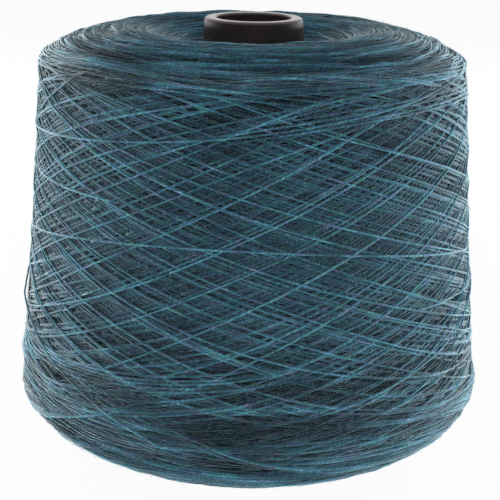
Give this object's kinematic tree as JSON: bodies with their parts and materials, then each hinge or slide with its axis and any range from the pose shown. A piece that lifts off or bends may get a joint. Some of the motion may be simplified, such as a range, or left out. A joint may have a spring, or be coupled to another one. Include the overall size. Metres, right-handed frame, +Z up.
{
  "type": "cone of yarn",
  "caption": "Cross-wound package of fine heathered teal yarn on a black moulded winding cone, open at both ends to sit on a peg or creel spindle.",
  "frame": {"origin": "centre of the base ring of the winding cone, on the plane it stands on", "axes": "+Z up the cone's axis, from the wide base to the nose"},
  "size_m": [0.1748, 0.1748, 0.17],
  "materials": {
    "cone_plastic": "black moulded plastic, satin, with a polished lip at the nose",
    "teal_yarn": "fine spun yarn, heathered teal, blue and grey, with a soft fuzz"
  },
  "bodies": {
    "root": {"winding_cone": "cone_plastic", "yarn_package": "teal_yarn"}
  },
  "joints": []
}
